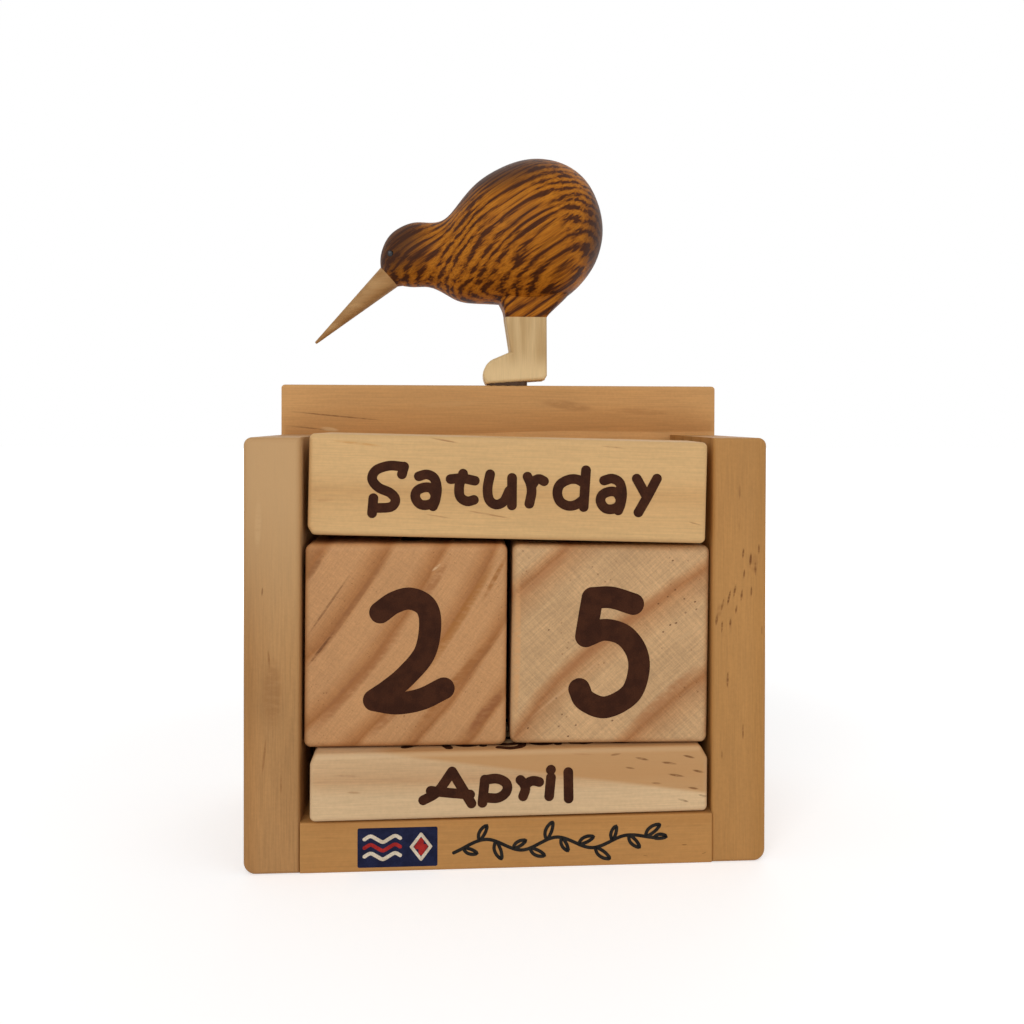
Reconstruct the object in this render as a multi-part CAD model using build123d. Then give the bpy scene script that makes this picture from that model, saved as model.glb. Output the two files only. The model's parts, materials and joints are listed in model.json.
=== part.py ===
from build123d import *
import os
from math import cos, degrees, radians, sin, sqrt, tan

# Perpetual desk calendar: an open pine tray of loose weekday, number and month blocks, with a carved kiwi
# standing on the back board. Millimetres. X runs to the right, Y to the back and Z up. The origin is the
# centre of the tray's footprint, on the table.

# Loose blocks. Two weekday bars, one cube and three month bars each fill the tray's depth.
cube_side = 40.0
cube_left_excess = 0.35  # height of the left cube over the right one, sawn a little off square
cube_setback = 1.2  # from the side boards' front
space_behind_cubes = 1.8
cube_play = 2.0  # what the tray is wider than two cubes
weekday_play = 2.7  # what the tray is deeper than two weekday bars
month_play = 3.1  # what the tray is deeper than three month bars
bar_end_gap = 1.4  # between a bar's end and the side board
block_arris = 1.4  # sanded edges of the cubes
bar_arris = 1.1  # sanded edges of the bars
block_gap = 0.25  # height of a resting block over what it rests on
back_gap = 0.3  # between the rearmost bars and the back board, and from bar to bar
cube_left_wall_gap = 0.45
cube_right_wall_gap = 0.2

# Pine frame
side_thickness = 11.0
shelf_thickness = 10.0
back_thickness = 11.0
side_rise = 2.25  # of the sides over the stacked blocks
back_rise = 11.8  # of the back board over the sides
board_arris = 0.8  # sanded edges of the boards
side_top_round = 1.6  # outer top corner of a side board
side_foot_round = 2.4  # outer bottom corner of a side board

# Hidden fixings of the frame
shelf_dowel_diameter = 5.0
shelf_dowel_in_shelf = 12.0
shelf_dowel_in_side = 7.0
shelf_dowel_inset = 10.0  # from the shelf's front and back edges
brad_diameter = 1.2
brad_head_diameter = 2.6
brad_head_thickness = 0.7
brad_length = 24.0
side_brad_heights = (20.0, 68.0)
shelf_brad_spacing = 44.0
fixing_fit = 0.05  # radial gap round a dowel, brad or tenon
drill_spare = 0.6  # a blind hole is drilled this much deeper than its dowel

# Small leans and shifts of the loose blocks. A roll is clockwise seen from the front and a yaw brings the
# right end forward, both in degrees. A shift is to the right.
cube_left_roll = 0.35
cube_right_roll = 0.7
weekday_front_roll = 1.2
weekday_rear_roll = 0.5
month_front_roll = 0.3
weekday_front_yaw = 3.2
month_front_yaw = -1.5
weekday_front_shift = 0.2
month_front_shift = 0.5
month_front_pull = 2.0  # how far it stands forward of the bar behind it
weekday_front_lift = 0.6  # over block_gap

# Corners planed off at the ends of the front bars: (end, edge, run along the bar, drop)
LEFT, RIGHT, BOTTOM, TOP = -1, 1, -1, 1
weekday_snipes = ((LEFT, BOTTOM, 1.0, 1.7),)
month_snipes = ((LEFT, TOP, 0.9, 2.0), (RIGHT, TOP, 1.5, 2.6))

# Kiwi. Its places are given from the middle of its ball-shaped body, and that middle from the feet.
leg_height = 16.5
leg_thickness = 4.8
leg_gap = 1.2  # between the two legs
leg_arris = 0.9
shin_top_x = 0.95  # front of the shin, at its top
shin_ankle = (2.25, 8.15)
instep_end = (-2.0, 6.3)
toe_tip = (-4.25, 2.3)
toe_low = (-3.6, 0.35)
heel_low = (10.5, 1.35)  # the sole rises towards the heel
heel_back = (11.1, 2.5)
shin_back_x = 11.0
body_height = 35.8
body_width = 30.4
body_x = 7.2
body_over_legs = 20.9  # height of the body's middle over the legs
body_stations = (  # distance behind the body's middle, and its lower and upper outline there
    (17.9, 0.55, 1.05),
    (17.8, -1.0, 2.6),
    (17.4, -3.25, 4.95),
    (16.4, -6.35, 8.1),
    (14.2, -10.2, 12.2),
    (11.2, -13.6, 15.2),
    (7.0, -16.5, 17.3),
    (0.0, -17.8, 18.0),
    (-7.9, -17.4, 15.45),
    (-13.7, -17.2, 11.45),
    (-18.1, -16.4, 6.2),
    (-21.6, -14.5, 2.8),
    (-24.6, -13.35, 2.3),
    (-28.1, -13.35, 2.3),
    (-31.5, -13.0, 1.1),
    (-33.7, -12.3, -0.45),
    (-35.3, -11.1, -2.7),
    (-36.15, -9.6, -5.0),
    (-36.38, -8.4, -6.2),
    (-36.45, -7.5, -7.1),
)
hip_rings = (  # rise, reach to the front, to the back and to each side, and corner radius
    (0.0, 0.0, 0.0, 0.0, 0.9),
    (2.9, 0.8, 2.6, 0.5, 2.5),
    (5.4, 2.6, 5.2, 1.0, 4.5),
    (8.4, 5.0, 7.0, 1.5, 6.4),
)
beak_length = 24.0
beak_base_radius = 3.05
beak_tip_radius = 0.3
beak_tip_round = 0.27
beak_angle = 42.5  # below level
beak_base = (-34.3, -11.0)  # centre of its base
beak_seat_depth = 2.4  # length of the cone that carries the head down to the beak
beak_seat_radius = 4.7
tenon_diameter = 2.6
tenon_length = 5.0
eye_place = (-33.7, -6.05)
eye_diameter = 1.35
eye_depth = 1.6
eye_proud = 0.15
leg_dowel_diameter = 2.6
foot_dowel_x = 4.7
foot_dowel_in_leg = 7.0
foot_dowel_in_board = 9.0
hip_dowel_in_leg = 5.0
hip_dowel_in_body = 6.0

tray_width = 2 * cube_side + cube_play
tray_depth = cube_setback + cube_side + space_behind_cubes
weekday_side = (tray_depth - weekday_play) / 2  # square section
month_side = (tray_depth - month_play) / 3  # square section
cube_left_height = cube_side + cube_left_excess
bar_length = tray_width - 2 * bar_end_gap
side_height = shelf_thickness + month_side + cube_side + weekday_side + side_rise
back_height = side_height + back_rise

frame_depth = tray_depth + back_thickness
front_y = -frame_depth / 2
back_board_y = front_y + tray_depth
rear_y = frame_depth / 2
inner_x = tray_width / 2
outer_x = inner_x + side_thickness
bird_y = back_board_y + back_thickness / 2


def cylinder_between(start, end, radius):
    axis = Vector(*end) - Vector(*start)
    plane = Plane(origin=start, z_dir=axis.normalized())
    return extrude(plane * Circle(radius), axis.length)


# Fixings


def shelf_dowel_spans(spare=0.0):
    """Ends of the four dowels between the shelf and the sides."""
    spans = []
    for side in (-1, 1):
        for y in (front_y + shelf_dowel_inset, back_board_y - shelf_dowel_inset):
            start = (side * (inner_x - shelf_dowel_in_shelf - spare), y, shelf_thickness / 2)
            end = (side * (inner_x + shelf_dowel_in_side + spare), y, shelf_thickness / 2)
            spans.append((start, end))
    return spans


def brad_places():
    """Where the brads go in at the back of the board: two in each side, two in the shelf."""
    side_x = inner_x + side_thickness / 2
    places = [(side * side_x, z) for side in (-1, 1) for z in side_brad_heights]
    places += [(side * shelf_brad_spacing / 2, shelf_thickness / 2) for side in (-1, 1)]
    return places


def brad(x, z, gap=0.0):
    """A headed brad driven forward from the back face, its head flush."""
    tip = (x, rear_y - brad_length - (drill_spare if gap else 0), z)
    shank = cylinder_between((x, rear_y - brad_head_thickness, z), tip, brad_diameter / 2 + gap)
    head_start = (x, rear_y - brad_head_thickness, z)
    head = cylinder_between(head_start, (x, rear_y, z), brad_head_diameter / 2 + gap)
    return head + shank


def leg_y(side):
    return bird_y + side * (leg_gap + leg_thickness) / 2


def foot_dowel_spans(spare=0.0):
    low = back_height - foot_dowel_in_board - spare
    high = back_height + foot_dowel_in_leg + spare
    return [((foot_dowel_x, leg_y(s), low), (foot_dowel_x, leg_y(s), high)) for s in (-1, 1)]


def hip_dowel_spans(spare=0.0):
    x = (shin_top_x + shin_back_x) / 2
    joint = back_height + leg_height
    low = joint - hip_dowel_in_leg - spare
    high = joint + hip_dowel_in_body + spare
    return [((x, leg_y(s), low), (x, leg_y(s), high)) for s in (-1, 1)]


def drilled(shape, spans, diameter):
    for start, end in spans:
        shape -= cylinder_between(start, end, diameter / 2 + fixing_fit)
    return shape


def dowels(spans, diameter):
    return Compound(children=[cylinder_between(start, end, diameter / 2) for start, end in spans])


# Frame boards


def board(x_span, y_span, z_span):
    size = [b - a for a, b in (x_span, y_span, z_span)]
    centre = [(a + b) / 2 for a, b in (x_span, y_span, z_span)]
    return Pos(*centre) * Box(*size)


def side_board(side):
    x_span = sorted((side * inner_x, side * outer_x))
    shape = board(x_span, (front_y, back_board_y), (0, side_height))
    outer = shape.faces().sort_by(Axis.X)[-1 if side > 0 else 0]
    along_depth = outer.edges().filter_by(Axis.Y).sort_by(Axis.Z)
    shape = fillet(along_depth[-1], side_top_round)
    outer_foot = shape.edges().filter_by(Axis.Y).group_by(Axis.Z)[0].sort_by(Axis.X)
    shape = fillet(outer_foot[-1 if side > 0 else 0], side_foot_round)
    shape = fillet(shape.faces().sort_by(Axis.Y)[0].edges(), board_arris)
    for x, z in brad_places():
        shape -= brad(x, z, fixing_fit)
    return drilled(shape, shelf_dowel_spans(drill_spare), shelf_dowel_diameter)


def base_shelf():
    shape = board((-inner_x, inner_x), (front_y, back_board_y), (0, shelf_thickness))
    front = shape.faces().sort_by(Axis.Y)[0]
    shape = fillet(front.edges().filter_by(Axis.X), board_arris / 2)
    for x, z in brad_places():
        shape -= brad(x, z, fixing_fit)
    return drilled(shape, shelf_dowel_spans(drill_spare), shelf_dowel_diameter)


def back_board():
    shape = board((-outer_x, outer_x), (back_board_y, rear_y), (0, back_height))
    top = shape.faces().sort_by(Axis.Z)[-1]
    back = shape.faces().sort_by(Axis.Y)[-1]
    shape = fillet(ShapeList(top.edges() + back.edges()), board_arris)
    for x, z in brad_places():
        shape -= brad(x, z, fixing_fit)
    return drilled(shape, foot_dowel_spans(drill_spare), leg_dowel_diameter)


# Loose blocks


def sanded_block(length, depth, height, arris, snipes=()):
    """A rectangular block with rounded edges, some end corners planed off first."""
    shape = Box(length, depth, height)
    for end, edge, run, drop in snipes:
        corner = (end * length / 2, edge * height / 2)
        inward = (corner[0] - end * run, corner[1])
        down = (corner[0], corner[1] - edge * drop)
        wedge = Plane.XZ * make_face(Polyline(corner, inward, down, close=True))
        shape -= extrude(wedge, depth, both=True)
    return fillet(shape.edges(), arris)


class Row:
    """Front view of a resting block: its roll, the place of its centre, its top and its underside."""

    def __init__(self, x, length, height, roll, below=(), gap=0.0):
        self.x, self.height, self.roll = x, height, radians(roll)
        half_spread = (length * cos(self.roll) + height * sin(self.roll)) / 2
        self.left, self.right = x - half_spread, x + half_spread
        self.z = 0
        self.z = max(
            (
                support.top(at) + gap - self.underside(at)
                for support in below
                for at in (max(self.left, support.left), min(self.right, support.right))
            ),
            default=height / 2,
        )

    def top(self, x):
        return self.z + self.height / 2 / cos(self.roll) - (x - self.x) * tan(self.roll)

    def underside(self, x):
        return self.top(x) - self.height / cos(self.roll)


def placed(shape, row, y, yaw=0.0):
    return Pos(row.x, y, row.z) * Rot(0, 0, -yaw) * Rot(0, degrees(row.roll), 0) * shape


def bar_row(side, roll, shift, below, gap):
    return Row(shift, bar_length, side, roll, below, gap)


def cube_row(side, height, wall_gap, roll):
    half_spread = (cube_side * cos(radians(roll)) + height * sin(radians(roll))) / 2
    x = side * (inner_x - wall_gap - half_spread)
    return Row(x, cube_side, height, roll, (month_row_rear, month_row_front), block_gap)


shelf_row = Row(0, tray_width, shelf_thickness, 0)
month_row_rear = bar_row(month_side, 0, 0, (shelf_row,), block_gap)
month_row_front = bar_row(month_side, month_front_roll, month_front_shift, (shelf_row,), block_gap)
cube_row_left = cube_row(-1, cube_left_height, cube_left_wall_gap, cube_left_roll)
cube_row_right = cube_row(1, cube_side, cube_right_wall_gap, cube_right_roll)
cube_rows = (cube_row_left, cube_row_right)
weekday_row_rear = bar_row(weekday_side, weekday_rear_roll, 0, cube_rows, block_gap)
weekday_row_front = bar_row(
    weekday_side, weekday_front_roll, weekday_front_shift, cube_rows, block_gap + weekday_front_lift
)


def rear_bar_y(section, places_from_back):
    """Centre of a bar, counted forward from the back board."""
    return back_board_y - back_gap - section / 2 - places_from_back * (section + back_gap)


def front_bar_y(section, bars_behind, yaw):
    """Centre of a front bar whose end swings back by its yaw without touching the bar behind."""
    swing = bar_length / 2 * abs(sin(radians(yaw))) + section / 2 * (1 / cos(radians(yaw)) - 1)
    return rear_bar_y(section, bars_behind) - swing


# Kiwi

body_z = back_height + leg_height + body_over_legs


def leg(side):
    """A flat leg and foot, cut from the side and rounded over."""
    top_z = back_height + leg_height

    def at(point):
        return (point[0], back_height + point[1])

    outline = [
        Line((shin_top_x, top_z), at(shin_ankle)),
        Line(at(shin_ankle), at(instep_end)),
        ThreePointArc(at(instep_end), at(toe_tip), at(toe_low)),
        Line(at(toe_low), at(heel_low)),
        Line(at(heel_low), at(heel_back)),
        Line(at(heel_back), (shin_back_x, top_z)),
        Line((shin_back_x, top_z), (shin_top_x, top_z)),
    ]
    profile = make_face(outline)
    plane = Plane(origin=(0, leg_y(side) + leg_thickness / 2, 0), x_dir=(1, 0, 0), z_dir=(0, -1, 0))
    shape = extrude(plane * profile, leg_thickness)
    flats = shape.faces().filter_by(Axis.Y)
    arrises = ShapeList(edge for flat in flats for edge in flat.edges().sort_by(Axis.Z)[:-1])
    shape = fillet(arrises, leg_arris)
    shape = drilled(shape, foot_dowel_spans(drill_spare), leg_dowel_diameter)
    return drilled(shape, hip_dowel_spans(drill_spare), leg_dowel_diameter)


def on_bird(place, side_reach=0.0):
    return (body_x + place[0], bird_y + side_reach, body_z + place[1])


def body_section(dx, low, high):
    """Upright oval across the body."""
    half_height = (high - low) / 2
    plane = Plane(origin=on_bird((dx, (low + high) / 2)), x_dir=(0, 1, 0), z_dir=(1, 0, 0))
    return plane * Ellipse(half_height * body_width / body_height, half_height)


def body_reach(dx, dz):
    """How far the body reaches to the side at a place between two stations."""
    rear, fore = [pair for pair in zip(body_stations, body_stations[1:]) if pair[0][0] > dx >= pair[1][0]][0]
    share = (rear[0] - dx) / (rear[0] - fore[0])
    low, high = [a + (b - a) * share for a, b in zip(rear[1:], fore[1:])]
    half_height = (high - low) / 2
    return sqrt(half_height**2 - (dz - (low + high) / 2) ** 2) * body_width / body_height


def beak_plane():
    direction = (-cos(radians(beak_angle)), 0, -sin(radians(beak_angle)))
    return Plane(origin=on_bird(beak_base), x_dir=(0, 1, 0), z_dir=direction)


def eye_plane(side):
    """Plane on the cheek, facing out, where an eye is set."""
    return Plane(origin=on_bird(eye_place, side * body_reach(*eye_place)), z_dir=(0, side, 0))


def kiwi_body():
    """Carved ball, neck and head in one sweep of ovals, with a hip for the legs and a seat for the beak."""
    shape = loft([body_section(*station) for station in body_stations])

    hip_width = 2 * leg_thickness + leg_gap
    rings = []
    for rise, front, back, side, corner in hip_rings:
        length = shin_back_x - shin_top_x + front + back
        middle = (shin_top_x - front + shin_back_x + back) / 2
        ring = RectangleRounded(length, hip_width + 2 * side, corner)
        rings.append(Pos(middle, bird_y, back_height + leg_height + rise) * ring)
    shape += loft(rings)

    beak = beak_plane()
    seat = Pos(0, 0, -beak_seat_depth / 2) * Cone(beak_seat_radius, beak_base_radius, beak_seat_depth)
    shape += beak * seat
    shape -= beak * Pos(0, 0, beak_length / 2) * Cylinder(beak_seat_radius, beak_length)
    socket_depth = tenon_length + drill_spare
    socket = Pos(0, 0, -socket_depth / 2) * Cylinder(tenon_diameter / 2 + fixing_fit, socket_depth)
    shape -= beak * socket
    for side in (-1, 1):
        shape -= eye_plane(side) * Cylinder(eye_diameter / 2 + fixing_fit, 2 * eye_depth + 2 * fixing_fit)
    return drilled(shape, hip_dowel_spans(drill_spare), leg_dowel_diameter)


def kiwi_beak():
    cone = Pos(0, 0, beak_length / 2) * Cone(beak_base_radius, beak_tip_radius, beak_length)
    cone = fillet(cone.edges().sort_by(Axis.Z)[-1], beak_tip_round)
    tenon = Pos(0, 0, -tenon_length / 2) * Cylinder(tenon_diameter / 2, tenon_length)
    return beak_plane() * (cone + tenon)


def kiwi_eyes():
    """Two domed beads, each with its shank in the cheek."""
    radius = eye_diameter / 2
    dome_radius = (radius**2 + eye_proud**2) / (2 * eye_proud)
    section = make_face([
        Line((0, -eye_depth), (radius, -eye_depth)),
        Line((radius, -eye_depth), (radius, 0)),
        RadiusArc((radius, 0), (0, eye_proud), -dome_radius),
        Line((0, eye_proud), (0, -eye_depth)),
    ])
    bead = revolve(Plane.XZ * section, Axis.Z)
    return Compound(children=[eye_plane(side) * bead for side in (-1, 1)])


def write(name, shape):
    export_step(shape, f"parts/{name}.step")


os.makedirs("parts", exist_ok=True)

write("side_left", side_board(-1))
write("side_right", side_board(1))
write("base_shelf", base_shelf())
write("back_board", back_board())
write("shelf_dowels", dowels(shelf_dowel_spans(), shelf_dowel_diameter))
write("back_brads", Compound(children=[brad(x, z) for x, z in brad_places()]))

cube_left = sanded_block(cube_side, cube_side, cube_left_height, block_arris)
cube_right = sanded_block(cube_side, cube_side, cube_side, block_arris)
cube_y = front_y + cube_setback + cube_side / 2
write("number_cube_left", placed(cube_left, cube_row_left, cube_y))
write("number_cube_right", placed(cube_right, cube_row_right, cube_y))

weekday_front = sanded_block(bar_length, weekday_side, weekday_side, bar_arris, weekday_snipes)
weekday_rear = sanded_block(bar_length, weekday_side, weekday_side, bar_arris)
weekday_y = front_bar_y(weekday_side, 1, weekday_front_yaw)
write("weekday_bar_front", placed(weekday_front, weekday_row_front, weekday_y, weekday_front_yaw))
write("weekday_bar_rear", placed(weekday_rear, weekday_row_rear, rear_bar_y(weekday_side, 0)))

month_front = sanded_block(bar_length, month_side, month_side, bar_arris, month_snipes)
month_rear = sanded_block(bar_length, month_side, month_side, bar_arris)
month_y = front_bar_y(month_side, 2, month_front_yaw) - month_front_pull
write("month_bar_front", placed(month_front, month_row_front, month_y, month_front_yaw))
write("month_bar_middle", placed(month_rear, month_row_rear, rear_bar_y(month_side, 1)))
write("month_bar_rear", placed(month_rear, month_row_rear, rear_bar_y(month_side, 0)))

write("kiwi_body", kiwi_body())
write("kiwi_beak", kiwi_beak())
write("kiwi_eyes", kiwi_eyes())
write("kiwi_leg_left", leg(-1))
write("kiwi_leg_right", leg(1))
write("foot_dowels", dowels(foot_dowel_spans(), leg_dowel_diameter))
write("hip_dowels", dowels(hip_dowel_spans(), leg_dowel_diameter))
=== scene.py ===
import json
from math import atan2, cos, degrees, pi, radians, sin

import bmesh
import bpy
from mathutils import Matrix, Vector

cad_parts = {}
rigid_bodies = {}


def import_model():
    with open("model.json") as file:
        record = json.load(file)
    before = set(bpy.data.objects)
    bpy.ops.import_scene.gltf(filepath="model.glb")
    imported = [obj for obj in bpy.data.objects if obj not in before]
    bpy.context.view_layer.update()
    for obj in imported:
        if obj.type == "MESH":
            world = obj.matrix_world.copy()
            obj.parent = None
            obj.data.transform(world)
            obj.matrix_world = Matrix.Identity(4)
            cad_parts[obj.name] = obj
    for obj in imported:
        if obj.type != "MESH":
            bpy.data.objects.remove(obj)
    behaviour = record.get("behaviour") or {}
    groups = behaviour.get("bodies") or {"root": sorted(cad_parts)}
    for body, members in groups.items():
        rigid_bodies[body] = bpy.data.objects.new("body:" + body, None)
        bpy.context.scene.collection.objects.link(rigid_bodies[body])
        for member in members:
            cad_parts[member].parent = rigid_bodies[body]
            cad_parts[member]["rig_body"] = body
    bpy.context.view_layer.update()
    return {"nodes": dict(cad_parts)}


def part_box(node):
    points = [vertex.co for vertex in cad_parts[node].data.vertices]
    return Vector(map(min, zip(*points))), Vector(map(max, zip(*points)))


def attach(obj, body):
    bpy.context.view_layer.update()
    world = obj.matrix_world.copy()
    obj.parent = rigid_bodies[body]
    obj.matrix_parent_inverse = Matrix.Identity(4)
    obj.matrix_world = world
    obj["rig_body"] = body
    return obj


# Looks of a wooden perpetual desk calendar with a carved kiwi on its back board. X runs to the right, Y
# to the back and Z up, in metres. Sizes inside a finish and of print are in millimetres.

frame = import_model()
nodes = frame["nodes"]
MM = 0.001


# Stage

CAMERA_AT = (-0.00975, -0.22983, 0.08913)
CAMERA_YAW = 0.0688
CAMERA_PITCH = 0.0078
CAMERA_ROLL = 0.0025
SENSOR = 36
LENS = 36.0
SHIFT = (-0.0185, -0.0817)
CLIP_START = 0.01
AMBIENT = 0.46
LAMP_AIM = (0, 0, 0.07)
LAMPS = (  # name, place, side and power
    ("key", (-0.26, -0.80, 0.52), 0.55, 2.9),
    ("fill", (0.70, -0.60, 0.30), 0.8, 1.1),
    ("back", (0.25, 0.80, 0.60), 0.8, 1.2),
)
WHITE = (1, 1, 1, 1)
FLOOR_SIDE = 6.0
FLOOR_TONE = (0.86, 0.86, 0.86, 1)
FLOOR_ROUGHNESS = 0.9
FLOOR_GLOW = (0.10, 0.40, 0.45, 1.0)  # from and to which distance, and its strength at both


def add_camera():
    """A camera at a given place, turned by yaw, pitch down and roll, in radians."""
    ahead = Vector((
        sin(CAMERA_YAW) * cos(CAMERA_PITCH), cos(CAMERA_YAW) * cos(CAMERA_PITCH), -sin(CAMERA_PITCH)
    ))
    level = Vector((cos(CAMERA_YAW), -sin(CAMERA_YAW), 0))
    up = level.cross(ahead)
    right = level * cos(CAMERA_ROLL) + up * sin(CAMERA_ROLL)
    up = up * cos(CAMERA_ROLL) - level * sin(CAMERA_ROLL)
    data = bpy.data.cameras.new("camera")
    data.sensor_width = SENSOR
    data.lens = LENS
    data.shift_x, data.shift_y = SHIFT
    data.clip_start = CLIP_START
    camera = bpy.data.objects.new("camera", data)
    turn = Matrix((right, up, -ahead)).transposed().to_4x4()
    camera.matrix_world = Matrix.Translation(CAMERA_AT) @ turn
    bpy.context.scene.collection.objects.link(camera)
    bpy.context.scene.camera = camera


def add_lamp(name, at, side, power):
    data = bpy.data.lights.new(name, "AREA")
    data.size = side
    data.energy = power
    lamp = bpy.data.objects.new(name, data)
    lamp.location = at
    lamp.rotation_euler = (Vector(LAMP_AIM) - Vector(at)).to_track_quat("-Z", "Y").to_euler()
    bpy.context.scene.collection.objects.link(lamp)


def seen_directly(tree):
    """1 for a ray that comes from the camera or a reflection, 0 for the light that falls on things."""
    path = tree.nodes.new("ShaderNodeLightPath")
    total = path.outputs["Is Camera Ray"]
    for name in ("Is Glossy Ray", "Is Transmission Ray"):
        highest = tree.nodes.new("ShaderNodeMath")
        highest.operation = "MAXIMUM"
        tree.links.new(total, highest.inputs[0])
        tree.links.new(path.outputs[name], highest.inputs[1])
        total = highest.outputs[0]
    return total


def add_world():
    """Plain white light from all round, weaker on things than where it is looked at."""
    world = bpy.data.worlds.new("studio")
    world.use_nodes = True
    bpy.context.scene.world = world
    tree = world.node_tree
    level = tree.nodes.new("ShaderNodeMapRange")
    level.inputs["To Min"].default_value = AMBIENT
    tree.links.new(seen_directly(tree), level.inputs["Value"])
    tree.links.new(level.outputs["Result"], tree.nodes["Background"].inputs["Strength"])
    tree.nodes["Background"].inputs["Color"].default_value = WHITE


def add_floor():
    """A white floor that keeps the shadow and grows brighter with the distance where it is looked at."""
    mesh = bpy.data.meshes.new("floor")
    half = FLOOR_SIDE / 2
    corners = [(-half, -half, 0), (half, -half, 0), (half, half, 0), (-half, half, 0)]
    mesh.from_pydata(corners, [], [(0, 1, 2, 3)])
    floor = bpy.data.objects.new("floor", mesh)
    bpy.context.scene.collection.objects.link(floor)
    material = bpy.data.materials.new("floor_white")
    material.use_nodes = True
    tree = material.node_tree
    surface = tree.nodes["Principled BSDF"]
    surface.inputs["Base Color"].default_value = FLOOR_TONE
    surface.inputs["Roughness"].default_value = FLOOR_ROUGHNESS
    surface.inputs["Specular IOR Level"].default_value = 0.0
    surface.inputs["Emission Color"].default_value = WHITE
    place = tree.nodes.new("ShaderNodeTexCoord")
    reach = tree.nodes.new("ShaderNodeVectorMath")
    reach.operation = "LENGTH"
    tree.links.new(place.outputs["Object"], reach.inputs[0])
    rise = tree.nodes.new("ShaderNodeMapRange")
    rise.interpolation_type = "SMOOTHSTEP"
    for socket, value in zip(("From Min", "From Max", "To Min", "To Max"), FLOOR_GLOW):
        rise.inputs[socket].default_value = value
    tree.links.new(reach.outputs["Value"], rise.inputs["Value"])
    glow = tree.nodes.new("ShaderNodeMath")
    glow.operation = "MULTIPLY"
    tree.links.new(rise.outputs["Result"], glow.inputs[1])
    tree.links.new(seen_directly(tree), glow.inputs[0])
    tree.links.new(glow.outputs[0], surface.inputs["Emission Strength"])
    mesh.materials.append(material)


# Node graphs

SPECK_CORE = 0.3  # share of a speck's reach that is full
HATCH_SIZE = (6, 0.3, 40)


def tone(red, green, blue):
    """A colour from its 0 to 255 values on a screen."""
    def linear(value):
        share = value / 255
        return share / 12.92 if share <= 0.04045 else ((share + 0.055) / 1.055) ** 2.4
    return (linear(red), linear(green), linear(blue), 1)


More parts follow.
